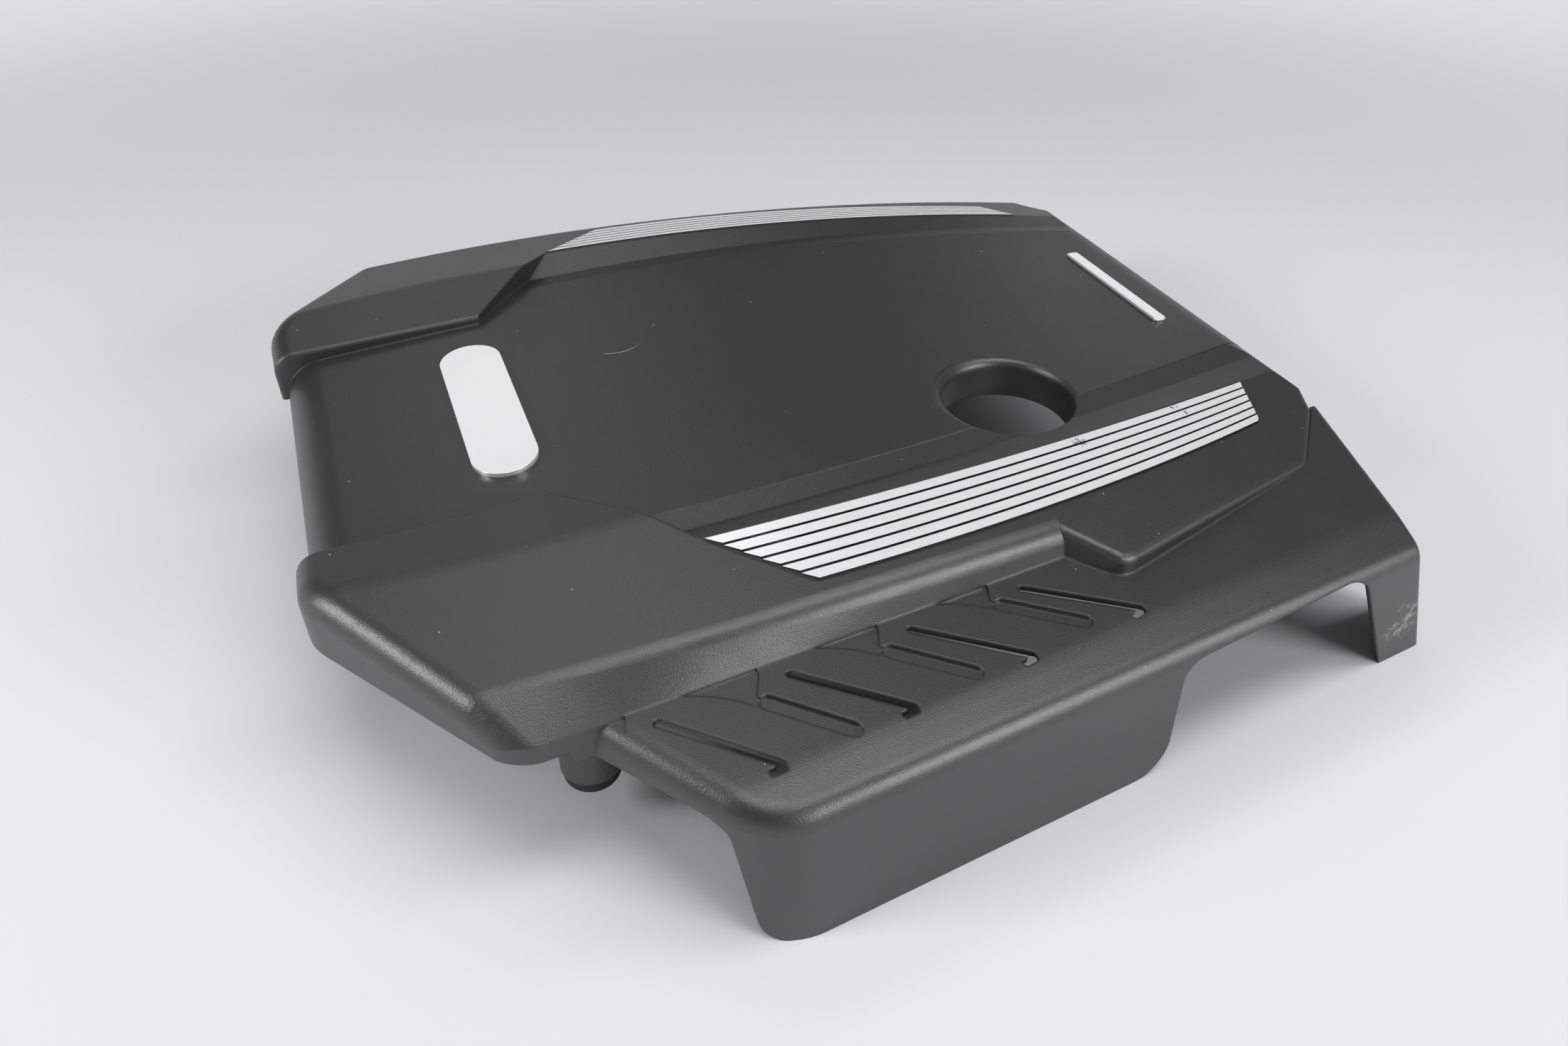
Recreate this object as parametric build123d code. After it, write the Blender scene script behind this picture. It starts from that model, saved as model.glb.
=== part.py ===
from build123d import *
import os
from math import cos, radians, sin, sqrt, tan

# Engine cover: one hollow moulding, two ribbed trim strips, two plain badges and four rubber grommets.
# Millimetres. X runs from the front lip to the rear edge, +Y is the right side and -Y the left, +Z is up.
# While the shapes are drawn, Y = 0 is the middle line and Z = 0 is the panel at the front badge.

# Moulding
wall = 3.0
rest_depth = 106.0

# Centre panel: arched along its length, with a rounded front lip and a rolled rear edge
lip_x = -107.0
rear_x = 468.0
panel_apex_x = 190.0
panel_apex_z = 5.0
panel_arch_radius = 3940.0
lip_radius = 24.0
rear_radius = 30.0

# Shoulder between the panel and the trim strip: a falling facet, a valley and a rising facet
crest_offset = 34.0
valley_offset = 19.0
valley_dip = 2.2

# Raised side bands, drawn for the right side and mirrored
band_apex_x = 95.0
band_apex_z = 9.8
band_arch_radius = 2630.0
band_tilt = 10.8
strip_apex_x = 80.0
strip_inner_y = 166.5
strip_inner_radius = 1560.0
strip_outer_y = 206.9
strip_outer_radius = 1231.0
block_front_x = -111.0
block_inner_y = 99.0
block_bend_x = 13.0
strip_start_x = 72.0
block_facet_z = 2.1
block_facet_slope = 8.6
block_facet_rise = 1.95
sweep_front_y = 132.0
sweep_angle = 34.0
sweep_corner_radius = 34.0
front_edge_radius = 13.0
crease_radius = 30.0
wall_edge_radius = 2.5

# Flank outside the band: it falls from the fold to the foot, then runs down as a plain wall
fold_y = 219.6
fold_radius = 1600.0
flank_start_y = 237.0
flank_converge = 5.3
flank_foot_z = -17.0
flank_end_x = 246.0
flank_sink = 14.0
flank_corner_radius = 28.0
plain_end_x = 430.0

# Rear lobe of the band, which reaches over the shelf
lobe_front_x = 266.0
lobe_front_y = 238.0
lobe_rear_x = 415.0
lobe_rear_y = 197.0
lobe_end_x = 452.0
lobe_end_y = 158.0
lobe_corner_radius = 14.0
lobe_blend = 2.4
lobe_edge_radius = 4.0

# Louvre shelf and skirt on the left side
shelf_angle = 6.3
skirt_fold_y = 316.3
skirt_fold_z = -28.0
skirt_draft = 3.6
outer_zone_width = 23.0
outer_zone_slope = 14.6
inner_zone_width = 88.0
inner_zone_slope = 5.5
shelf_front_x = -5.0
shelf_front_y = 235.0
shelf_front_sweep = 36.0
shelf_rear_x = 460.0
shelf_rear_y = 155.0
shelf_rear_sweep = 16.0
leg_lean = 21.0
skirt_corner_radius = 40.0
skirt_edge_radius = 12.0
zone_radius = 60.0
shelf_rear_radius = 5.0

# Lower edge: the front and rear walls stop here, the skirts run down to the ground
edge_z = -35.0
front_edge_z = -27.0
skirt_front_x = 49.0
skirt_front_slant = 11.0
skirt_end_x = 272.0
arch_front_z = -36.0
arch_rear_x = 392.0
arch_rear_z = -31.0
leg_front_x = 430.0
leg_return_y = 238.0
notch_radius = 12.0
arch_radius = 20.0
right_skirt_front_x = 62.0
right_skirt_rear_x = 385.0

# Oil filler hole
hole_x = 279.0
hole_y = -100.0
hole_rim = 86.4
hole_bore = 75.0
collar_depth = 24.0

# Trim strips
strip_front_outer_x = 115.0
strip_rear_x = 420.0
strip_rear_sweep = 11.0
strip_corner_radius = 8.0
seat_depth = 2.2
seat_clearance = 0.2
seat_gap = 0.02
tip_reach = 2.5
groove_depth = 0.6
groove_width = 1.5
rib_height = 0.6
rib_inset = 1.2
rib_count = 6

# Louvres in the shelf
louvre_x = 23.0
louvre_y = 244.0
louvre_pitch = 63.5
louvre_turn = 3.0
louvre_count = 4
slot_angle = 41.0
slot_length = 61.0
slot_width = 4.0
slot_foot = 9.0
gutter_depth = 1.5
gutter_rim = [(13, 9.5), (29, 4), (43, -5.5)]
gutter_back = [(74, -30), (82, -29), (46.5, -2), (52, 10), (52, 20), (13, 20)]
gutter_nose = [(-10, 20), (-10, 10.5), (-12, 0), (-17, -8), (-40, -8), (-40, 20)]
recess_start = (47, -4)
recess_depth = 2.2
recess_length = 47.0
recess_width = 8.0

# Mount towers under the roof, with rubber grommets
tower_front_x = 0.0
tower_front_y = 205.0
tower_rear_x = 395.0
tower_rear_y = 120.0
tower_diameter = 30.0
tower_bottom_z = -76.0
grommet_plug = 20.0
grommet_depth = 14.0
grommet_flange = 28.0
grommet_thickness = 9.0
grommet_bore = 10.0
grommet_snap = 1.2

# Stiffening ribs under the panel
rib_spread = 40.0
rib_places = (-40.0, 70.0, 180.0, 370.0)
rib_thickness = 2.0
stiffener_height = 6.0

# Plain badges
front_badge_length = 140.0
front_badge_width = 36.0
front_badge_thickness = 2.5
rear_badge_x = 420.0
rear_badge_length = 104.0
rear_badge_width = 9.0
rear_badge_thickness = 2.0

# Drawing limits: levels above and below everything, and how far hidden overlaps reach
ground_z = -rest_depth
deep_z = ground_z - 30
sky_z = 60.0
tuck = 8.0
hair = 0.15
side_limit = 400.0
overrun = 100.0
near = 0.5
loft_steps = 6
front_search = 4.0
fold_search = 2.0
level_limit = 0.8
upright_limit = 0.9


def arch_drop(x, apex_x, radius):
    """How far a circular arch of this radius lies below its apex at x."""
    return radius - sqrt(radius**2 - (x - apex_x) ** 2)


def panel_z(x):
    return panel_apex_z - arch_drop(x, panel_apex_x, panel_arch_radius)


def band_z(x, y):
    arch = band_apex_z - arch_drop(x, band_apex_x, band_arch_radius)
    return arch - tan(radians(band_tilt)) * (y - strip_inner_y)


def strip_inner(x):
    return strip_inner_y - arch_drop(x, strip_apex_x, strip_inner_radius)


def strip_outer(x):
    return strip_outer_y - arch_drop(x, strip_apex_x, strip_outer_radius)


def fold(x):
    return fold_y - arch_drop(x, strip_apex_x, fold_radius)


def flank_foot(x):
    return flank_start_y - tan(radians(flank_converge)) * (x - block_bend_x)


def prism(outline, low=deep_z, high=sky_z):
    """A plan outline raised between two heights."""
    return extrude(Pos(0, 0, low) * outline, high - low)


def under_panel(lift=0.0):
    """Everything below the panel's arch, lifted or lowered."""
    a, b = lip_x - overrun, rear_x + overrun
    top = ThreePointArc((a, panel_z(a) + lift), (panel_apex_x, panel_apex_z + lift), (b, panel_z(b) + lift))
    rest = Polyline(top @ 1, (b, deep_z), (a, deep_z), top @ 0)
    return extrude(Plane.XZ * make_face([top, rest]), side_limit, both=True)


def under_band(lift=0.0):
    """Everything below the right band's arch, which is tilted outwards."""
    a, b = lip_x - overrun, rear_x + overrun
    top = ThreePointArc(
        (a, band_z(a, 0) + lift), (band_apex_x, band_z(band_apex_x, 0) + lift), (b, band_z(b, 0) + lift)
    )
    rest = Polyline(top @ 1, (b, deep_z), (a, deep_z), top @ 0)
    tilt = radians(band_tilt)
    return extrude(Plane.XZ * make_face([top, rest]), side_limit, dir=(0, cos(tilt), -sin(tilt)))


def panel_body(inset):
    """The centre panel, bounded by the two crest lines."""
    front, rear = lip_x + inset, rear_x - inset
    top = ThreePointArc(
        (front, panel_z(front) - inset), (panel_apex_x, panel_apex_z - inset), (rear, panel_z(rear) - inset)
    )
    rest = Polyline(top @ 1, (rear, deep_z), (front, deep_z), top @ 0)
    profile = make_face([top, rest])
    profile = fillet(profile.vertices().sort_by(Axis.Y)[2:].sort_by(Axis.X)[0], lip_radius - inset)
    profile = fillet(profile.vertices().sort_by(Axis.X)[-2:].sort_by(Axis.Y)[-1], rear_radius - inset)
    body = extrude(Plane.XZ * profile, side_limit, both=True)
    crest_radius = strip_inner_radius - crest_offset
    centre_y = strip_inner_y - strip_inner_radius
    right, left = [Pos(strip_apex_x, y) * Circle(crest_radius) for y in (centre_y, -centre_y)]
    return body & prism(right & left)


def moved_in(points, inset):
    """Corners of an anticlockwise outline, moved inwards."""
    corners = [Vector(*point) for point in points]
    moved = []
    for before, here, after in zip(corners[-1:] + corners[:-1], corners, corners[1:] + corners[:1]):
        one = (here - before).normalized().rotate(Axis.Z, 90)
        two = (after - here).normalized().rotate(Axis.Z, 90)
        moved.append(here + (one + two) * (inset / (1 + one.dot(two))))
    return moved


def rounded(face, corners, radius):
    """A plan outline with the corners nearest to these points rounded."""
    for corner in corners:
        face = fillet(face.vertices().sort_by_distance(corner)[0], radius)
    return face


def across(x, points):
    """A closed outline given as (y, z) points, in the plane across the part at x."""
    return Plane((x, 0, 0), (0, 1, 0), (1, 0, 0)) * make_face(Polyline(*points, close=True))


def shoulder_body(inset):
    """Falling facet, valley and rising facet between the panel and the strip, on the right side."""
    start, end = block_bend_x - tuck, rear_x - inset
    sections = []
    for step in range(loft_steps + 1):
        x = start + (end - start) * step / loft_steps
        inner, top = strip_inner(x), panel_z(x) - inset
        edge_z = band_z(x, inner) - inset
        sections.append(across(x, [
            (inner - crest_offset - tuck, top - tuck),
            (inner - crest_offset, top - hair),
            (inner - valley_offset, top - valley_dip),
            (inner, edge_z),
            (inner + tuck, edge_z - tuck / 2),
            (inner + tuck, deep_z),
            (inner - crest_offset - tuck, deep_z),
        ]))
    return loft(sections) - rear_roll(inset)


def rear_roll(inset):
    """Everything behind the rolled rear edge of the shoulders and bands, a hair inside the panel's."""
    radius, end = rear_radius - inset, rear_x - inset - hair
    top = panel_z(rear_x - rear_radius) - inset - hair
    slant = radius * (1 - sqrt(0.5))
    arc = ThreePointArc((end - radius, top), (end - slant, top - slant), (end, top - radius))
    far = end + overrun
    rest = Polyline(arc @ 1, (end, deep_z), (far, deep_z), (far, sky_z), (end - radius, sky_z), arc @ 0)
    return extrude(Plane.XZ * make_face([arc, rest]), side_limit, both=True)


def sweep_corner():
    """Where the swept front wall meets the flank's foot, in plan."""
    sweep, converge = radians(sweep_angle), tan(radians(flank_converge))
    reach = flank_foot(block_front_x) - sweep_front_y
    length = reach / (cos(sweep) + converge * sin(sweep))
    return (block_front_x + length * sin(sweep), sweep_front_y + length * cos(sweep))


def sweep_tip(inset):
    """The tip of the corner between the swept wall and the flank, outside its round."""
    sweep, converge = radians(sweep_angle), radians(flank_converge)
    corner = Vector(*sweep_corner())
    arriving, leaving = Vector(sin(sweep), cos(sweep)), Vector(cos(converge), -sin(converge))
    half = arriving.get_angle(leaving) / 2
    inwards = (leaving - arriving).normalized()
    centre = corner + inwards * (flank_corner_radius / cos(radians(half)) - near)
    tip = Pos(corner) * Circle(flank_corner_radius * tan(radians(half)))
    return prism(tip - Pos(centre) * Circle(flank_corner_radius - inset))


def band_corners(lobe):
    """Plan corners of a band, drawn for the right, anticlockwise from the block's inner front corner."""
    out = flank_start_y + 3 * tuck
    front_out = block_front_x + tan(radians(sweep_angle)) * (out - sweep_front_y)
    inside = [
        (block_front_x, block_inner_y),
        (block_bend_x, block_inner_y),
        (strip_start_x, strip_inner(strip_start_x)),
        (rear_x, strip_inner(rear_x)),
        (lobe_end_x, lobe_end_y),
    ]
    reach = [
        (lobe_rear_x, lobe_rear_y),
        (lobe_front_x, lobe_front_y),
        (flank_end_x, flank_foot(flank_end_x)),
        (flank_end_x, out),
    ]
    plain = [(plain_end_x, out)]
    return inside + (reach if lobe else plain) + [(front_out, out), (block_front_x, sweep_front_y)]


def band_outline(inset, lobe):
    """Plan of a band: block, diagonal, strip edge, rear end and swept front, open towards the flank."""
    corners = moved_in(band_corners(lobe), inset)
    middle_x = (corners[2].X + corners[3].X) / 2
    edge = ThreePointArc(corners[2], (middle_x, strip_inner(middle_x) + inset), corners[3])
    face = make_face([edge, Polyline(*corners[3:], *corners[:3])])
    face = rounded(face, corners[-1:], sweep_corner_radius - inset)
    return rounded(face, corners[4:7] if lobe else corners[4:5], lobe_corner_radius - inset)


def flank_section(x, foot, top, foot_z, inset):
    """Section across everything outside a flank, which falls from its top to its foot."""
    lean = (foot - top) / (band_z(x, top) - foot_z)
    shift = inset * sqrt(1 + lean**2)
    out = flank_start_y + 6 * tuck
    return across(x, [
        (foot - lean * (sky_z - foot_z) - shift, sky_z),
        (foot - inset, foot_z - (shift - inset) / lean),
        (foot - inset, deep_z),
        (out, deep_z),
        (out, sky_z),
    ])


def flank_cutter(inset, lobe):
    """Everything outside a flank and the wall below it, as far back as the flank runs."""
    start, end = block_front_x - tuck, flank_end_x if lobe else rear_x
    sections = []
    for step in range(loft_steps + 1):
        x = start + (end - start) * step / loft_steps
        share = max(0.0, (x - block_front_x) / (rear_x - block_front_x))
        foot_z = flank_foot_z - (0 if lobe else flank_sink * share**2)
        sections.append(flank_section(x, flank_foot(x), fold(x), foot_z, inset))
    return loft(sections)


def lobe_cutter(inset):
    """What the flank takes off the lobe where it runs out along the lobe's front."""
    start, end = fold(flank_end_x), lobe_front_y - lobe_blend
    slant = (end - start) / (lobe_front_x - flank_end_x)
    across_slant = inset * sqrt(1 + slant**2)
    return loft([
        flank_section(flank_end_x, flank_foot(flank_end_x), start, flank_foot_z, across_slant),
        flank_section(lobe_front_x, lobe_front_y, end, flank_foot_z, across_slant),
    ], ruled=True)


def below(plane, size=2000.0, depth=1200.0):
    """A large block whose top face lies in the plane."""
    return plane * Box(size, size, depth, align=(Align.CENTER, Align.CENTER, Align.MAX))


def band_body(inset, lobe):
    """A band, drawn for the right: block, strip seat and rear end, with its flank."""
    body = prism(band_outline(inset, lobe)) & under_band(-inset / cos(radians(band_tilt)))
    slope, rise = tan(radians(block_facet_slope)), tan(radians(block_facet_rise))
    facet = Plane((block_front_x, block_inner_y, block_facet_z - inset), (1, 0, rise), (-rise, -slope, 1))
    body = body & below(facet)
    body = soften_band(body - flank_cutter(inset, lobe) - rear_roll(inset), inset)
    if lobe:
        body = body - lobe_cutter(inset)
    if not inset:
        body = round_band_edges(body, lobe)
    return body - sweep_tip(inset)


def facet_z(x, y):
    """Height of the block's inner facet."""
    rise, slope = tan(radians(block_facet_rise)), tan(radians(block_facet_slope))
    return block_facet_z + rise * (x - block_front_x) + slope * (y - block_inner_y)


def sweep_gap(point):
    """How far a point lies behind the block's front wall or its swept part, whichever is nearer."""
    sweep = radians(sweep_angle)
    behind_sweep = (point.X - block_front_x) * cos(sweep) - (point.Y - sweep_front_y) * sin(sweep)
    return min(point.X - block_front_x, behind_sweep)


def soften_band(body, inset):
    """Rounds the crease, the front edge and the fold, and outside also the wall and lobe edges."""
    lower = inset / cos(radians(band_tilt))
    meeting = []
    for edge in body.edges():
        x, y, z = edge @ 0.5
        if abs(z - facet_z(x, y) + inset) < hair and abs(z - band_z(x, y) + lower) < hair:
            meeting.append(edge)
    crease = max(meeting, key=lambda edge: edge.length)
    body = fillet(crease, crease_radius)
    level = [edge for edge in body.edges() if abs((edge % 0.5).Z) < level_limit and (edge @ 0.5).Z > edge_z]
    front = [
        edge for edge in level
        if sweep_gap(edge @ 0.5) < inset + front_search and (edge @ 0.5).Y > block_inner_y + inset + near
    ]
    long = [edge for edge in level if edge.length > lobe_front_x - block_bend_x]
    folds = [edge for edge in long if abs((edge @ 0.5).Y - fold((edge @ 0.5).X)) < inset + fold_search]
    return fillet(front if inset else front + folds, front_edge_radius - inset)


def nearest_edge(body, x, y, z):
    return min(body.edges(), key=lambda edge: (edge @ 0.5 - Vector(x, y, z)).length)


def round_band_edges(body, lobe):
    """Rounds the top of the block's inner wall, and the lobe's edge with the end of the flank."""
    wall_x = (block_front_x + block_bend_x) / 2
    wall_top = nearest_edge(body, wall_x, block_inner_y, facet_z(wall_x, block_inner_y))
    body = fillet(wall_top, wall_edge_radius)
    if not lobe:
        return body
    side_x, side_y = (lobe_front_x + lobe_rear_x) / 2, (lobe_front_y + lobe_rear_y) / 2
    end_x, end_y = (flank_end_x + lobe_front_x) / 2, (fold(flank_end_x) + lobe_front_y) / 2
    lobe_edges = [nearest_edge(body, x, y, band_z(x, y)) for x, y in ((side_x, side_y), (end_x, end_y))]
    return fillet(lobe_edges, lobe_edge_radius)


def shelf_section(inset):
    """Section of the shelf: v runs outwards from the skirt's fold."""
    slope_out, slope_in = tan(radians(outer_zone_slope)), tan(radians(inner_zone_slope))
    inner_v = -outer_zone_width - inner_zone_width
    break_z = skirt_fold_z + outer_zone_width * slope_out
    return moved_in([
        (inner_v, deep_z),
        (tan(radians(skirt_draft)) * (skirt_fold_z - deep_z), deep_z),
        (0, skirt_fold_z),
        (-outer_zone_width, break_z),
        (inner_v, break_z + inner_zone_width * slope_in),
    ], inset)


def shelf_frame(x):
    """Upright plane across the shelf at x, with its own x pointing outwards."""
    turn = radians(shelf_angle)
    origin = (x, -skirt_fold_y + tan(turn) * x, 0)
    return Plane(origin, (sin(turn), -cos(turn), 0), (-cos(turn), -sin(turn), 0))


def shelf_front_plane(inset):
    turn = radians(shelf_front_sweep)
    plane = Plane((shelf_front_x, -shelf_front_y, 0), (sin(turn), -cos(turn), 0), (-cos(turn), -sin(turn), 0))
    return plane.offset(-inset)


def shelf_rear_plane(inset):
    turn, lean = radians(shelf_rear_sweep), radians(leg_lean)
    normal = (cos(turn) * cos(lean), -sin(turn) * cos(lean), sin(lean))
    plane = Plane((shelf_rear_x, -shelf_rear_y, flank_foot_z), (-sin(turn), -cos(turn), 0), normal)
    return plane.offset(-inset)


def shelf_body(inset):
    """The louvre shelf with its skirt, on the left side."""
    middle = (shelf_front_x + shelf_rear_x) / 2
    section = shelf_frame(middle) * make_face(Polyline(*shelf_section(inset), close=True))
    body = extrude(section, shelf_rear_x - shelf_front_x, both=True)
    body = body & below(shelf_front_plane(inset)) & below(shelf_rear_plane(inset))
    upright = [edge for edge in body.edges() if abs((edge % 0.5).Z) > upright_limit]
    corner = min(upright, key=lambda edge: (edge @ 0.5).X + (edge @ 0.5).Y)
    body = fillet(corner, skirt_corner_radius - inset)
    straight = body.edges().filter_by(GeomType.LINE)
    lengthwise = [edge for edge in straight if abs((edge % 0.5).X) > upright_limit]
    zone_line = sorted(lengthwise, key=lambda edge: (edge @ 0.5).Z)[-2]
    body = fillet(zone_line, zone_radius)
    front = shelf_front_plane(inset)
    rounded_front = [
        edge for edge in body.edges()
        if abs((edge % 0.5).Z) < level_limit and (edge @ 0.5).Z > edge_z and (edge @ 0.5).Y < -shelf_front_y
        and front.to_local_coords(edge @ 0.5).Z > -skirt_corner_radius / 3
    ]
    fold_line = [edge for edge in body.edges() if edge.length > shelf_rear_x / 2 and (edge @ 0.5).Z > edge_z]
    fold_line = min(fold_line, key=lambda edge: (edge @ 0.5).Z)
    body = fillet(rounded_front + [fold_line], skirt_edge_radius - inset)
    if inset:
        return body
    rear = shelf_rear_plane(inset)
    rear_top = max(
        (edge for edge in body.edges() if abs(rear.to_local_coords(edge @ 0.5).Z) < hair),
        key=lambda edge: (edge @ 0.5).Z,
    )
    return fillet(rear_top, shelf_rear_radius)


def lower_edge_left():
    """What stays of the left side, seen from the side: front wall, skirt, arch and rear leg."""
    points = [
        (block_front_x - overrun, front_edge_z),
        (shelf_front_x - tuck, front_edge_z),
        (shelf_front_x - tuck, edge_z),
        (skirt_front_x - skirt_front_slant, edge_z),
        (skirt_front_x, ground_z),
        (skirt_end_x, ground_z),
        (skirt_end_x, arch_front_z),
        (arch_rear_x, arch_rear_z),
        (leg_front_x, ground_z),
        (rear_x + overrun, ground_z),
        (rear_x + overrun, sky_z),
        (block_front_x - overrun, sky_z),
    ]
    face = make_face(Polyline(*points, close=True))
    face = rounded(face, points[3:5] + points[6:7], notch_radius)
    return rounded(face, points[5:6] + points[7:8], arch_radius)


def lower_edge_middle():
    """What stays between the two sides."""
    points = [
        (block_front_x - overrun, front_edge_z),
        (shelf_front_x, front_edge_z),
        (shelf_front_x, edge_z),
        (rear_x + overrun, edge_z),
        (rear_x + overrun, sky_z),
        (block_front_x - overrun, sky_z),
    ]
    return make_face(Polyline(*points, close=True))


def lower_edge_right():
    """What stays of the right side: a plain skirt between two notches."""
    points = [
        (block_front_x - overrun, front_edge_z),
        (right_skirt_front_x, front_edge_z),
        (right_skirt_front_x, ground_z),
        (right_skirt_rear_x, ground_z),
        (right_skirt_rear_x, edge_z),
        (rear_x + overrun, edge_z),
        (rear_x + overrun, sky_z),
        (block_front_x - overrun, sky_z),
    ]
    return rounded(make_face(Polyline(*points, close=True)), points[1:5], arch_radius)


def below_edge(kept, side_from, side_to):
    """Everything under a side's lower edge, between two distances from the middle line."""
    low, high = (block_front_x - overrun, deep_z - tuck), (rear_x + overrun, sky_z)
    whole = make_face(Polyline(low, (high[0], low[1]), high, (low[0], high[1]), close=True))
    return Pos(0, side_to, 0) * extrude(Plane.XZ * (whole - kept), side_to - side_from)


def oil_hole():
    """The bell-mouthed bore for the filler neck."""
    top, bore = panel_z(hole_x), hole_bore / 2
    lip = (hole_rim - hole_bore) / 2
    swell = lip * (1 - sqrt(0.5))
    arc = ThreePointArc((hole_rim / 2, top), (bore + swell, top - swell), (bore, top - lip))
    rest = Polyline(arc @ 1, (bore, deep_z), (0, deep_z), (0, sky_z), (hole_rim / 2, sky_z), arc @ 0)
    return Pos(hole_x, hole_y, 0) * revolve(Plane.XZ * make_face([arc, rest]), Axis.Z)


def oil_collar():
    """The wall round the bore, under the panel."""
    top, bore = panel_z(hole_x), hole_bore / 2
    outer = hole_rim / 2 + wall
    points = [(0, sky_z), (outer, sky_z), (outer, top - wall), (bore + wall, top - collar_depth / 2),
              (bore + wall, top - collar_depth), (0, top - collar_depth)]
    return Pos(hole_x, hole_y, 0) * revolve(Plane.XZ * make_face(Polyline(*points, close=True)), Axis.Z)


def strip_line(share):
    """How far from the middle line a lengthwise line of the strip lies: share 0 inside, 1 outside."""
    return lambda x: strip_inner(x) + share * (strip_outer(x) - strip_inner(x))


def strip_front(share):
    return strip_start_x + share * (strip_front_outer_x - strip_start_x)


def strip_rear(share):
    return strip_rear_x - share * strip_rear_sweep


def strip_outline(low, high, front, rear, grow=0.0):
    """Plan of a lengthwise piece of the strip between two lines, with its ends at given places."""
    inside = [(x, strip_line(low)(x) - grow) for x in (front[0], (front[0] + rear[0]) / 2, rear[0])]
    outside = [(x, strip_line(high)(x) + grow) for x in (rear[1], (front[1] + rear[1]) / 2, front[1])]
    first, second = ThreePointArc(*inside), ThreePointArc(*outside)
    return make_face([first, Line(inside[2], outside[0]), second, Line(outside[2], inside[0])])


def strip_plan(grow=0.0):
    """Plan of the whole right strip, or of its seat when grown."""
    tip = tip_reach * grow
    front = (strip_front(0) - tip, strip_front(1) - tip)
    rear = (strip_rear(0) + grow, strip_rear(1) + grow)
    face = strip_outline(0, 1, front, rear, grow)
    outer_corners = [(end, strip_line(1)(end) + grow) for end in (front[1], rear[1])]
    return rounded(face, outer_corners, strip_corner_radius)


def trim_strip():
    """The right trim strip: a thin base with six ribs, cut on a slant at the front."""
    body = (prism(strip_plan()) & under_band(-groove_depth)) - under_band(-seat_depth)
    plan = prism(strip_plan())
    for rib in range(rib_count):
        low, high = rib / rib_count, (rib + 1) / rib_count
        margin = groove_width / 2 / (strip_outer_y - strip_inner_y)
        starts = (strip_front(low) + rib_inset, strip_front(high) + rib_inset)
        ends = (strip_rear(low), strip_rear(high))
        outline = strip_outline(low + margin, high - margin, starts, ends)
        body += (prism(outline) & plan & under_band(rib_height)) - under_band(-seat_depth)
    return body


def strip_floor():
    """The room kept solid under the right strip's seat."""
    return prism(strip_plan(wall)) - under_band(-seat_depth - wall)


def strip_seat():
    """The pocket that the right strip lies in."""
    return prism(strip_plan(seat_clearance)) - under_band(-seat_depth - seat_gap)


def zone_plane(lower=0.0):
    """The plane of the shelf's inner zone, or one parallel to it and lower."""
    frame = shelf_frame(0)
    slope = radians(inner_zone_slope)
    break_z = skirt_fold_z + outer_zone_width * tan(radians(outer_zone_slope))
    origin = frame.origin - frame.x_dir * outer_zone_width + Vector(0, 0, break_z)
    return Plane(origin, -frame.z_dir, frame.x_dir * sin(slope) + Vector(0, 0, cos(slope))).offset(-lower)


def louvre(step):
    """Where a louvre starts on the shelf, turned a little more than the one before it."""
    turn = radians(flank_converge)
    reach = louvre_pitch * step
    place = Pos(louvre_x + reach * cos(turn), -louvre_y + reach * sin(turn), 0)
    return place * Rot(0, 0, louvre_turn * step)


def slot(start, angle, length, width):
    """Plan of a round-ended slot from its start."""
    return Pos(*start) * Rot(0, 0, angle) * Pos(length / 2, 0) * SlotOverall(length, width)


def louvre_slots():
    """The four narrow slots through the shelf, each with a foot at its outer end."""
    foot = (slot_length * cos(radians(slot_angle)), -slot_length * sin(radians(slot_angle)))
    plan = slot((0, 0), -slot_angle, slot_length, slot_width)
    plan += slot(foot, 180 + shelf_angle, slot_foot, slot_width)
    return [prism(louvre(step) * plan, low=edge_z) for step in range(louvre_count)]


def louvre_gutters():
    """The sunk ledges between the scales, each with a deeper recess along the scale behind it."""
    rim = ThreePointArc(*gutter_rim)
    ledge = make_face([rim, Polyline(rim @ 1, *gutter_back, rim @ 0)])
    recess = slot(recess_start, -slot_angle, recess_length, recess_width)
    nose = make_face(Polyline(*gutter_nose, close=True))
    shallow, deep = below(zone_plane(gutter_depth)), below(zone_plane(recess_depth))
    cuts = [prism(louvre(0) * nose, low=edge_z) - shallow]
    for step in range(louvre_count - 1):
        cuts.append(prism(louvre(step) * ledge, low=edge_z) - shallow)
        cuts.append(prism(louvre(step) * recess, low=edge_z) - deep)
    return cuts


def mount_places():
    """The four mount towers in plan, with the names of their corners."""
    return {
        "front_left": (tower_front_x, -tower_front_y),
        "front_right": (tower_front_x, tower_front_y),
        "rear_left": (tower_rear_x, -tower_rear_y),
        "rear_right": (tower_rear_x, tower_rear_y),
    }


def tower(place):
    """A round boss that hangs from the roof."""
    return Pos(*place, tower_bottom_z) * Cylinder(
        tower_diameter / 2, sky_z - tower_bottom_z, align=(Align.CENTER, Align.CENTER, Align.MIN))


def tower_bore(place):
    return Pos(*place, tower_bottom_z) * Cylinder(
        grommet_plug / 2, grommet_depth, align=(Align.CENTER, Align.CENTER, Align.MIN))


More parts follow.
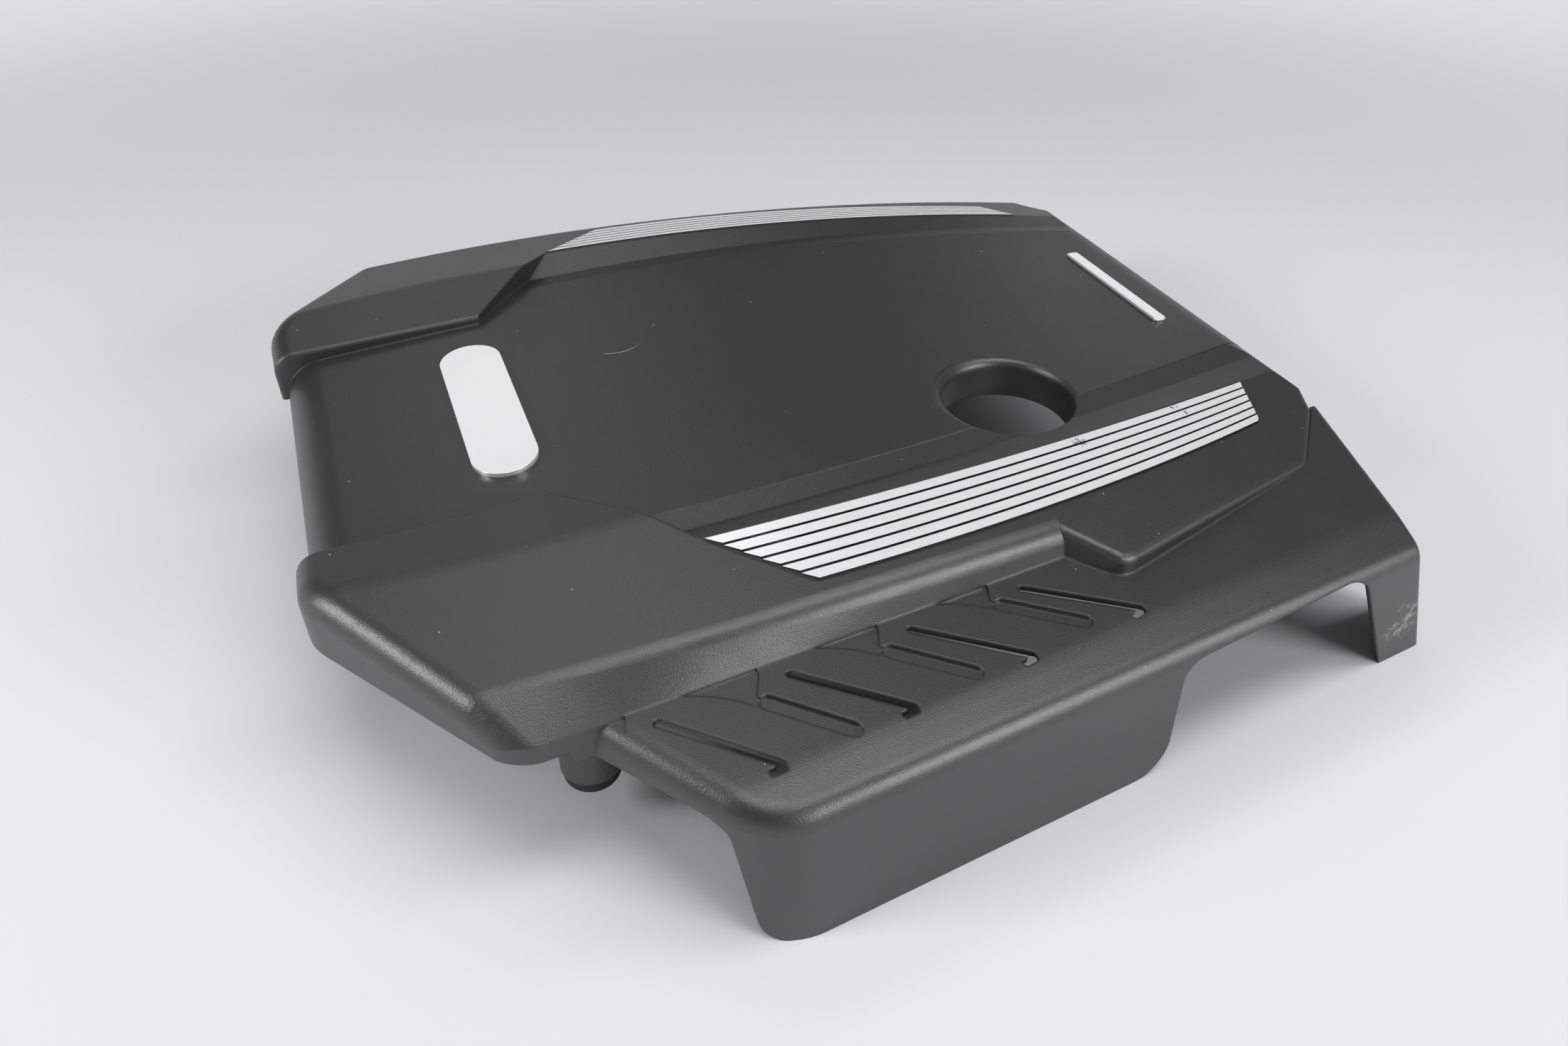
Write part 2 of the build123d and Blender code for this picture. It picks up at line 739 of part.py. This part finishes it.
def grommet(place):
    """A rubber grommet: a plug in the tower's bore, a rounded flange below it and a ball socket."""
    plug, flange, mouth = grommet_plug / 2, grommet_flange / 2, grommet_bore / 2
    points = [(0, grommet_depth), (plug, grommet_depth), (plug, 0), (flange, 0), (flange, -grommet_thickness),
              (0, -grommet_thickness)]
    face = rounded(make_face(Polyline(*points, close=True)), points[4:5], grommet_thickness / 2)
    body = revolve(Plane.XZ * face, Axis.Z)
    body -= Cylinder(mouth, grommet_thickness, align=(Align.CENTER, Align.CENTER, Align.MAX))
    body -= Sphere(mouth + grommet_snap)
    return Pos(*place, tower_bottom_z) * body


def roof_ribs():
    """Stiffening ribs of even height under the panel."""
    length, breadth, height = rear_x - lip_x, 2 * block_inner_y, sky_z - deep_z
    x_middle, z_middle = (rear_x + lip_x) / 2, (sky_z + deep_z) / 2
    room = panel_body(wall) - under_panel(-wall - stiffener_height)
    plates = [Pos(x, 0, z_middle) * Box(rib_thickness, breadth, height) for x in rib_places]
    for y in (-rib_spread, rib_spread):
        plates.append(Pos(x_middle, y, z_middle) * Box(length, rib_thickness, height))
    return [plate & room for plate in plates]


def badge(outline, thickness):
    """A flat plate on the panel, which follows its arch."""
    return (prism(outline) & under_panel(thickness)) - under_panel()


def front_badge():
    return badge(Rot(0, 0, 90) * SlotOverall(front_badge_length, front_badge_width), front_badge_thickness)


def rear_badge():
    outline = RectangleRounded(rear_badge_width, rear_badge_length, rear_badge_width / 4)
    return badge(Pos(rear_badge_x, 0) * outline, rear_badge_thickness)


def massing(inset):
    """The whole cover as a filled body, the size of its outside less the inset."""
    shoulder = shoulder_body(inset)
    right = shoulder + band_body(inset, lobe=False)
    left = mirror(shoulder + band_body(inset, lobe=True), Plane.XZ)
    return panel_body(inset) + right + left


def lobe_block():
    """The space over the left shelf that the band's lobe takes up."""
    corners = band_corners(lobe=True)
    points = [(flank_end_x, block_inner_y), (rear_x, block_inner_y)] + corners[3:8]
    face = rounded(make_face(Polyline(*points, close=True)), corners[4:7], lobe_corner_radius)
    return mirror(prism(face, low=edge_z), Plane.XZ)


def cover_shell():
    """The one-piece moulding."""
    shelf = shelf_body(0.0) - lobe_block() - louvre_gutters()
    outer = massing(0.0) + shelf
    floors = strip_floor()
    inner = (massing(wall) + shelf_body(wall)) - [floors, mirror(floors, Plane.XZ)]
    seat = strip_seat()
    body = (outer - inner) + (oil_collar() & outer) + roof_ribs()
    body -= below_edge(lower_edge_left(), -side_limit, -leg_return_y)
    body -= below_edge(lower_edge_middle(), -leg_return_y, block_inner_y)
    body -= below_edge(lower_edge_right(), block_inner_y, side_limit)
    body += [tower(place) & outer for place in mount_places().values()]
    body -= [tower_bore(place) for place in mount_places().values()]
    body -= [oil_hole(), seat, mirror(seat, Plane.XZ)] + louvre_slots()
    return body


shell = cover_shell()
strip = trim_strip()
pieces = {
    "cover_shell": shell,
    "trim_strip_right": strip,
    "trim_strip_left": mirror(strip, Plane.XZ),
    "front_badge": front_badge(),
    "rear_badge": rear_badge(),
}
for corner, place in mount_places().items():
    pieces[f"grommet_{corner}"] = grommet(place)

# The part's own frame: its origin is on the ground under the middle of the moulding
box = shell.bounding_box()
home = Pos(-(box.min.X + box.max.X) / 2, -(box.min.Y + box.max.Y) / 2, -box.min.Z)
print("shift", home.position)

os.makedirs("parts", exist_ok=True)
for name, piece in pieces.items():
    export_step(home * piece, f"parts/{name}.step")
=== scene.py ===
# %% [markdown]
# # An engine cover
#
# The real object is one large hollow moulding in satin black plastic. Two ribbed trim strips lie in
# pockets along its raised side bands, two plain bright badges sit on the panel, and four rubber grommets
# in towers under the roof push onto ball studs on the engine. The solids come from the CAD model, which
# is loaded as a fixed frame. Blender gives them finishes, softened trim, light and a camera.

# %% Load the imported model
from math import cos, radians, sin

import bmesh
import bpy
from mathutils import Matrix, Vector


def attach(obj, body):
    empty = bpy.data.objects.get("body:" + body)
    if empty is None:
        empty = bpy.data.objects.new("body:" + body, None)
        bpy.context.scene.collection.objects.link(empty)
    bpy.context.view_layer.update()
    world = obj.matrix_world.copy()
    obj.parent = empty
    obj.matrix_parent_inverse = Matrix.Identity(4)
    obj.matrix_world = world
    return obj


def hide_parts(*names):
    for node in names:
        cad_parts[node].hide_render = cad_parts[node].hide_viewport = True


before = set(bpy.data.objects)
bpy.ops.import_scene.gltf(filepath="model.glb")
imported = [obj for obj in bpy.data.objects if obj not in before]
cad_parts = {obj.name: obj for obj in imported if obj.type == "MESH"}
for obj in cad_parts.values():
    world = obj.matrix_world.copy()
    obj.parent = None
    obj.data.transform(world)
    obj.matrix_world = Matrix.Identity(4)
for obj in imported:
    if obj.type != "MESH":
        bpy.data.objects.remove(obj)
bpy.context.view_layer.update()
scene = bpy.context.scene
print("nodes:", ", ".join(sorted(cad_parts)))

# %% [markdown]
# ## Camera
#
# The photograph was taken from the left, in front of the cover and above it. The lens, the place and the
# three angles were worked out from the photo, so they are set as numbers. A camera in Blender looks along
# its own -Z with +Y up, so its turn is built from the directions right, up and back.

# %% Place the camera
image_width, focal_pixels = 2212, 1625.0
yaw, pitch, roll = radians(22.02), radians(38.35), radians(-0.27)
camera_place = (-0.23087, -0.53698, 0.46000)
forward = Vector((sin(yaw) * cos(pitch), cos(yaw) * cos(pitch), -sin(pitch)))
level_right = Vector((cos(yaw), -sin(yaw), 0.0))
level_down = forward.cross(level_right)
right = cos(roll) * level_right + sin(roll) * level_down
down = cos(roll) * level_down - sin(roll) * level_right

camera_data = bpy.data.cameras.new("camera")
camera_data.sensor_width = 36.0
camera_data.lens = focal_pixels / image_width * camera_data.sensor_width
camera_data.clip_start = 0.01
camera = bpy.data.objects.new("camera", camera_data)
scene.collection.objects.link(camera)
turn = Matrix((right, -down, -forward)).transposed().to_4x4()
camera.matrix_world = Matrix.Translation(camera_place) @ turn
scene.camera = camera
print("lens", round(camera_data.lens, 2), "mm")

# %% [markdown]
# ## Floor and light
#
# A plain pale floor carries the shadow. Black satin plastic shows what it mirrors. In the photo the faces
# that lean towards the camera are grey and the level ones are dark, so the light is a long soft panel that
# hangs level over the near half of the cover, with another behind the camera. A smaller, brighter panel in
# front of the cover whitens its front edges, one at the back lights the tops of the raised blocks, and each
# badge mirrors a small card. The world is a quiet grey. Far from the cover the floor glows a little where
# the camera or a mirror sees it, and so does the world's horizon, so the background stays pale and even.

# %% Helpers for material nodes
def add(tree, kind, options=None, inputs=None):
    """Adds a node. A socket given as an input is linked, anything else is set as its value."""
    node = tree.nodes.new(kind)
    for key, value in (options or {}).items():
        setattr(node, key, value)
    for key, value in (inputs or {}).items():
        if isinstance(value, bpy.types.NodeSocket):
            tree.links.new(value, node.inputs[key])
        else:
            node.inputs[key].default_value = value
    return node


def step(tree, operation, first, second=0.0, third=0.0):
    """One maths step."""
    return add(tree, "ShaderNodeMath", {"operation": operation}, {0: first, 1: second, 2: third}).outputs[0]


def fade(tree, value, low, high, start=0.0, end=1.0):
    """Turns a range of values into another, smoothly and without running past its ends."""
    inputs = {"Value": value, "From Min": low, "From Max": high, "To Min": start, "To Max": end}
    return add(tree, "ShaderNodeMapRange", {"interpolation_type": "SMOOTHSTEP"}, inputs).outputs["Result"]


def seen_directly(tree):
    """1 for rays from the camera, from a mirror or through glass, and 0 for light on its way to a surface."""
    rays = add(tree, "ShaderNodeLightPath").outputs
    mirrored = step(tree, "MAXIMUM", rays["Is Glossy Ray"], rays["Is Transmission Ray"])
    return step(tree, "MAXIMUM", rays["Is Camera Ray"], mirrored)


print("node helpers ready")


# %% Make the floor
def new_finish(name, color, roughness, metallic=0.0):
    """A principled material with its constants set on the sockets, and its node tree and shader."""
    finish = bpy.data.materials.new(name)
    finish.use_nodes = True
    shader = finish.node_tree.nodes["Principled BSDF"]
    shader.inputs["Base Color"].default_value = (*color, 1.0)
    shader.inputs["Roughness"].default_value = roughness
    shader.inputs["Metallic"].default_value = metallic
    return finish, finish.node_tree, shader


pale_grey = (0.80, 0.81, 0.82)
backdrop_level = 0.90
floor_reach = 6.0
glow_starts, glow_full = 0.7, 1.7
floor_mesh = bpy.data.meshes.new("floor")
floor_bm = bmesh.new()
bmesh.ops.create_grid(floor_bm, x_segments=1, y_segments=1, size=floor_reach)
floor_bm.to_mesh(floor_mesh)
floor_bm.free()
floor = bpy.data.objects.new("floor", floor_mesh)
paper, tree, shader = new_finish("floor_paper", pale_grey, 0.9)
spot = add(tree, "ShaderNodeTexCoord").outputs["Object"]
far_off = add(tree, "ShaderNodeVectorMath", {"operation": "LENGTH"}, {0: spot}).outputs["Value"]
glow = add(tree, "ShaderNodeEmission", None, {"Color": (*pale_grey, 1.0), "Strength": backdrop_level})
share = step(tree, "MULTIPLY", seen_directly(tree), fade(tree, far_off, glow_starts, glow_full))
both = add(tree, "ShaderNodeMixShader", None, {0: share, 1: shader.outputs[0], 2: glow.outputs[0]})
tree.links.new(both.outputs[0], tree.nodes["Material Output"].inputs["Surface"])
floor_mesh.materials.append(paper)
scene.collection.objects.link(floor)
print("floor", floor.dimensions[:])


# %% Set up the lights
def soft_panel(name, place, aim, width, height, watts):
    """A soft rectangular light that faces a point."""
    data = bpy.data.lights.new(name, "AREA")
    data.shape = "RECTANGLE"
    data.size, data.size_y = width, height
    data.energy = watts
    lamp = bpy.data.objects.new(name, data)
    facing = (Vector(aim) - Vector(place)).to_track_quat("-Z", "Y").to_matrix().to_4x4()
    lamp.matrix_world = Matrix.Translation(place) @ facing
    scene.collection.objects.link(lamp)


soft_panel("top_panel", (0.35, -0.38, 1.70), (0.35, -0.38, 0.0), 1.8, 0.55, 15.0)
soft_panel("near_panel", (1.40, -2.20, 1.10), (0.0, -0.15, 0.08), 1.4, 0.7, 38.0)
soft_panel("front_panel", (-1.70, 0.00, 0.96), (-0.25, -0.15, 0.08), 0.6, 0.6, 16.0)
soft_panel("back_panel", (-0.10, 0.85, 1.90), (-0.10, 0.85, 0.0), 1.2, 0.4, 4.0)
soft_panel("front_badge_card", (-0.13, 1.35, 0.93), (-0.18, 0.03, 0.11), 0.6, 0.4, 0.6)
soft_panel("rear_badge_card", (1.41, 1.35, 0.79), (0.24, 0.03, 0.11), 0.6, 0.4, 0.6)

quiet_level = 0.14
horizon_top, sky_start = 0.04, 0.20
world = bpy.data.worlds.new("studio")
world.use_nodes = True
scene.world = world
tree = world.node_tree
backdrop = tree.nodes["Background"]
backdrop.inputs["Color"].default_value = (*pale_grey, 1.0)
sky = add(tree, "ShaderNodeSeparateXYZ", None, {0: add(tree, "ShaderNodeTexCoord").outputs["Generated"]})
horizon = fade(tree, sky.outputs[2], horizon_top, sky_start, backdrop_level - quiet_level, 0.0)
glow_level = step(tree, "MULTIPLY_ADD", horizon, seen_directly(tree), quiet_level)
tree.links.new(glow_level, backdrop.inputs["Strength"])
scene.view_settings.view_transform = "Standard"

# %% [markdown]
# ## Where things are on the part
#
# Patterns are placed by Object coordinates, which are the part's own metres, so a scratch or a scuff lies
# where its numbers say. The same few steps serve every finish: a noise, a bump and a mix of two colours.

# %% Helpers for places and patterns
def place_on_part(tree):
    """Object coordinates, which are the part's own metres."""
    return add(tree, "ShaderNodeTexCoord").outputs["Object"]


def noise(tree, spot, scale, detail, roughness=0.5):
    """A smooth random pattern with about this many grains in a metre."""
    inputs = {"Vector": spot, "Scale": scale, "Detail": detail, "Roughness": roughness}
    return add(tree, "ShaderNodeTexNoise", None, inputs).outputs["Fac"]


def rough_skin(tree, shader, height, strength, depth, under=None):
    """Gives a shader bump from a pattern of heights, over another normal where there is one."""
    inputs = {"Strength": strength, "Distance": depth, "Height": height}
    if under is not None:
        inputs["Normal"] = under
    bump = add(tree, "ShaderNodeBump", None, inputs)
    tree.links.new(bump.outputs["Normal"], shader.inputs["Normal"])


def two_colors(tree, shader, share, base, mark):
    """Mixes a marked colour into a shader's base colour by a share from 0 to 1."""
    mix = add(tree, "ShaderNodeMix", {"data_type": "RGBA"}, {0: share, 6: (*base, 1.0), 7: (*mark, 1.0)})
    tree.links.new(mix.outputs[2], shader.inputs["Base Color"])


def near_spot(tree, spot, centre, inner, outer):
    """1 inside a ball on the part, falling to 0 at its outer radius."""
    away = add(tree, "ShaderNodeVectorMath", {"operation": "DISTANCE"}, {0: spot, 1: centre}).outputs["Value"]
    return fade(tree, away, inner, outer, 1.0, 0.0)


print("place helpers ready")

# %% [markdown]
# ## Satin moulded plastic
#
# The cover is mineral-filled black plastic with a fine spark-eroded grain. Noise finer than a millimetre
# gives the grain as bump, a Bevel node rounds the shading of sharp edges by two millimetres, as a mould
# does, a slow noise varies the sheen, and small pale specks are the dust that lies on the top faces. One
# curved scratch on the panel and the scuffs on the rear leg are put where the photo has them.

# %% Make the plastic
plastic_black = (0.022, 0.022, 0.023)
edge_radius = 0.0020
grains_per_metre, grain_depth = 1500.0, 0.0003
glossiest, dullest = 0.35, 0.38
specks_per_metre, speck_share, largest_speck = 150.0, 0.14, 0.08

plastic, tree, shader = new_finish("satin_moulding", plastic_black, dullest)
shader.inputs["Specular IOR Level"].default_value = 1.0
spot = place_on_part(tree)
round_edges = add(tree, "ShaderNodeBevel", {"samples": 4}, {"Radius": edge_radius}).outputs["Normal"]
grain = noise(tree, spot, grains_per_metre, 2.0, 0.6)
rough_skin(tree, shader, grain, 0.5, grain_depth, under=round_edges)
sheen = fade(tree, noise(tree, spot, 22.0, 4.0), 0.3, 0.7, glossiest, dullest)

specks = add(tree, "ShaderNodeTexVoronoi", None, {"Vector": spot, "Scale": specks_per_metre})
speck_pick = add(tree, "ShaderNodeSeparateColor", None, {0: specks.outputs["Color"]}).outputs[0]
speck_size = fade(tree, speck_pick, 1.0 - speck_share, 1.0, 0.0, largest_speck)
speck_dot = step(tree, "LESS_THAN", specks.outputs["Distance"], speck_size)
facing = add(tree, "ShaderNodeSeparateXYZ", None, {0: add(tree, "ShaderNodeNewGeometry").outputs["Normal"]})
dust = step(tree, "MULTIPLY", speck_dot, fade(tree, facing.outputs[2], 0.3, 0.8))
print("plastic grain, sheen and dust:", len(tree.nodes), "nodes")

# %% Scratch the panel and scuff the rear leg
worn_grey = (0.42, 0.42, 0.41)
scratch_centre, scratch_radius = (-0.0949, 0.0840, 0.0), 0.0202
scratch_core, scratch_edge = 0.00012, 0.00035
scratch_fades_in, scratch_fades_out = (-0.1055, -0.1030), (-0.0930, -0.0775)
scuff_place, scuff_inner, scuff_outer = (0.2585, -0.2348, 0.0265), 0.006, 0.020

axes = add(tree, "ShaderNodeSeparateXYZ", None, {0: spot}).outputs
over = add(tree, "ShaderNodeCombineXYZ", None, {0: axes[0], 1: axes[1]}).outputs[0]
from_centre = add(tree, "ShaderNodeVectorMath", {"operation": "DISTANCE"}, {0: over, 1: scratch_centre})
off_line = step(tree, "ABSOLUTE", step(tree, "SUBTRACT", from_centre.outputs["Value"], scratch_radius))
scratch_line = fade(tree, off_line, scratch_core, scratch_edge, 1.0, 0.0)
scratch_start = fade(tree, axes[0], *scratch_fades_in)
scratch_end = fade(tree, axes[0], *scratch_fades_out, 1.0, 0.0)
scratch_side = step(tree, "LESS_THAN", axes[1], scratch_centre[1])
scratch = step(tree, "MULTIPLY", step(tree, "MULTIPLY", scratch_line, scratch_start),
               step(tree, "MULTIPLY", scratch_end, scratch_side))

rub = fade(tree, noise(tree, spot, 150.0, 7.0, 0.75), 0.46, 0.66)
leg = near_spot(tree, spot, scuff_place, scuff_inner, scuff_outer)
scuff = step(tree, "MULTIPLY", step(tree, "MULTIPLY", rub, leg), 0.75)
marks = step(tree, "MAXIMUM", step(tree, "MAXIMUM", scratch, scuff), step(tree, "MULTIPLY", dust, 0.8))
two_colors(tree, shader, marks, plastic_black, worn_grey)
worn = step(tree, "MULTIPLY_ADD", marks, 0.25, sheen)
tree.links.new(worn, shader.inputs["Roughness"])
print("plastic with wear:", len(tree.nodes), "nodes")

# %% Put the plastic on the moulding
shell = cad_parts["cover_shell"]
shell.material_slots[0].material = plastic
print("moulding:", len(shell.material_slots), "slot,", len(shell.data.polygons), "faces")

# %% [markdown]
# ## Trim strips
#
# Each strip is a black base with six ribs whose tops carry bright silver foil. A copy of the solid with its
# corners merged lets the script find the rib tops: they are the faces that look up and are bounded by
# outside edges only, while the groove floors meet their walls in inside edges. The tops get the foil, and
# their edges a fine bevel that catches the light.

# %% Helpers for finding and softening edges
sharp_from, smooth_below = radians(35.0), radians(40.0)
same_corner, same_plane = 2e-6, radians(0.05)


def merged_copy(node_name):
    """A bmesh of a CAD node with shared corners and joined flat faces."""
    bm = bmesh.new()
    bm.from_mesh(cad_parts[node_name].data)
    bmesh.ops.remove_doubles(bm, verts=bm.verts[:], dist=same_corner)
    bmesh.ops.dissolve_limit(bm, angle_limit=same_plane, use_dissolve_boundaries=False,
                             verts=bm.verts[:], edges=bm.edges[:], delimit=set())
    return bm


def sharp_edges(bm):
    """The edges where two faces meet at a corner."""
    return [e for e in bm.edges if len(e.link_faces) == 2 and e.calc_face_angle() > sharp_from]


def round_off(bm, edges, width, segments):
    """Rounds edges over by a small bevel."""
    bmesh.ops.bevel(bm, geom=edges, offset=width, offset_type="OFFSET", affect="EDGES", segments=segments,
                    profile=0.5, material=-1, clamp_overlap=True)


def smooth_islands(bm, sharp):
    """Groups of faces that meet in smooth edges."""
    blocked, seen, islands = set(sharp), set(), []
    for start in bm.faces:
        if start in seen:
            continue
        island, waiting = [], [start]
        seen.add(start)
        while waiting:
            face = waiting.pop()
            island.append(face)
            for edge in face.edges:
                if edge in blocked:
                    continue
                for other in edge.link_faces:
                    if other not in seen:
                        seen.add(other)
                        waiting.append(other)
        islands.append(island)
    return islands


def finished_piece(bm, node_name, finishes):
    """Turns a softened copy into a piece in the node's place, and hides the node."""
    mesh = bpy.data.meshes.new(node_name + "_piece")
    bm.to_mesh(mesh)
    bm.free()
    for finish in finishes:
        mesh.materials.append(finish)
    mesh.shade_smooth()
    mesh.set_sharp_from_angle(angle=smooth_below)
    piece = bpy.data.objects.new(node_name + "_piece", mesh)
    scene.collection.objects.link(piece)
    even = piece.modifiers.new("even_normals", "WEIGHTED_NORMAL")
    even.keep_sharp = True
    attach(piece, "root")
    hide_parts(node_name)
    print(node_name, len(mesh.polygons), "faces")


print("piece helpers ready")

# %% Make the silver foil and the black base
foil_silver, painted_blue_reflection = (0.90, 0.90, 0.91), (0.10, 0.11, 0.16)
# Three small bluish patches in the foil at these places are painted reflection of a blue surrounding, not
# bare base showing through.
reflection_places = [(0.180, -0.106, 0.107), (0.184, -0.113, 0.107), (0.108, -0.121, 0.111)]
reflection_inner, reflection_outer = 0.001, 0.006
streaks_along, streaks_across = 30.0, 900.0

silver, tree, shader = new_finish("silver_foil", foil_silver, 0.34, 0.3)
spot = place_on_part(tree)
reach = 0.0
for place in reflection_places:
    reach = step(tree, "MAXIMUM", near_spot(tree, spot, place, reflection_inner, reflection_outer), reach)
blue_reflection_share = step(tree, "MULTIPLY", fade(tree, noise(tree, spot, 420.0, 3.0), 0.50, 0.58), reach)
two_colors(tree, shader, blue_reflection_share, foil_silver, painted_blue_reflection)
streak_scale = (streaks_along, streaks_across, streaks_across)
streak = add(tree, "ShaderNodeMapping", None, {"Vector": spot, "Scale": streak_scale}).outputs[0]
tree.links.new(fade(tree, noise(tree, streak, 1.0, 2.0), 0.3, 0.7, 0.26, 0.36), shader.inputs["Roughness"])

groove_black, tree, shader = new_finish("groove_black", (0.014, 0.014, 0.015), 0.45)
rough_skin(tree, shader, noise(tree, place_on_part(tree), 1300.0, 2.0), 0.2, 0.0002)
print("foil and groove finishes made")

# %% Dress the two strips
smallest_top, looks_up = 1e-4, 0.8
rib_bevel = 0.00035
for side in ("left", "right"):
    bm = merged_copy(f"trim_strip_{side}")
    sharp = sharp_edges(bm)
    corners = set(sharp)
    tops = set()
    for island in smooth_islands(bm, sharp):
        rim = [e for face in island for e in face.edges if e in corners]
        area = sum(face.calc_area() for face in island)
        raised = rim and all(e.is_convex for e in rim)
        if island[0].normal.z > looks_up and raised and area > smallest_top:
            tops.update(island)
    for face in bm.faces:
        face.material_index = 0 if face in tops else 1
    rims = [e for e in sharp if sum(face in tops for face in e.link_faces) == 1]
    round_off(bm, rims, rib_bevel, 2)
    print(side, "rib tops:", len(tops), "faces,", len(rims), "rim edges")
    finished_piece(bm, f"trim_strip_{side}", [silver, groove_black])

# %% [markdown]
# ## Badges and grommets
#
# The two badges are plain polished plates: a long oval at the front and a bar at the rear. Their
# edges get a small round bevel. The grommets are soft black rubber with a dull, slightly uneven skin.

# %% Make the chrome and the rubber
chrome, tree, shader = new_finish("badge_chrome", (0.85, 0.85, 0.86), 0.10, 0.6)
smudge = noise(tree, place_on_part(tree), 60.0, 4.0)
tree.links.new(fade(tree, smudge, 0.35, 0.7, 0.11, 0.14), shader.inputs["Roughness"])

rubber, tree, shader = new_finish("grommet_rubber", (0.015, 0.015, 0.016), 0.72)
rough_skin(tree, shader, noise(tree, place_on_part(tree), 700.0, 3.0), 0.3, 0.0003)
print("chrome and rubber made")

# %% Dress the badges and grommets
badge_bevel = 0.0006
for place in ("front", "rear"):
    bm = merged_copy(f"{place}_badge")
    round_off(bm, sharp_edges(bm), badge_bevel, 3)
    finished_piece(bm, f"{place}_badge", [chrome])
for corner in ("front_left", "front_right", "rear_left", "rear_right"):
    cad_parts[f"grommet_{corner}"].material_slots[0].material = rubber
    print("grommet", corner, "in rubber")
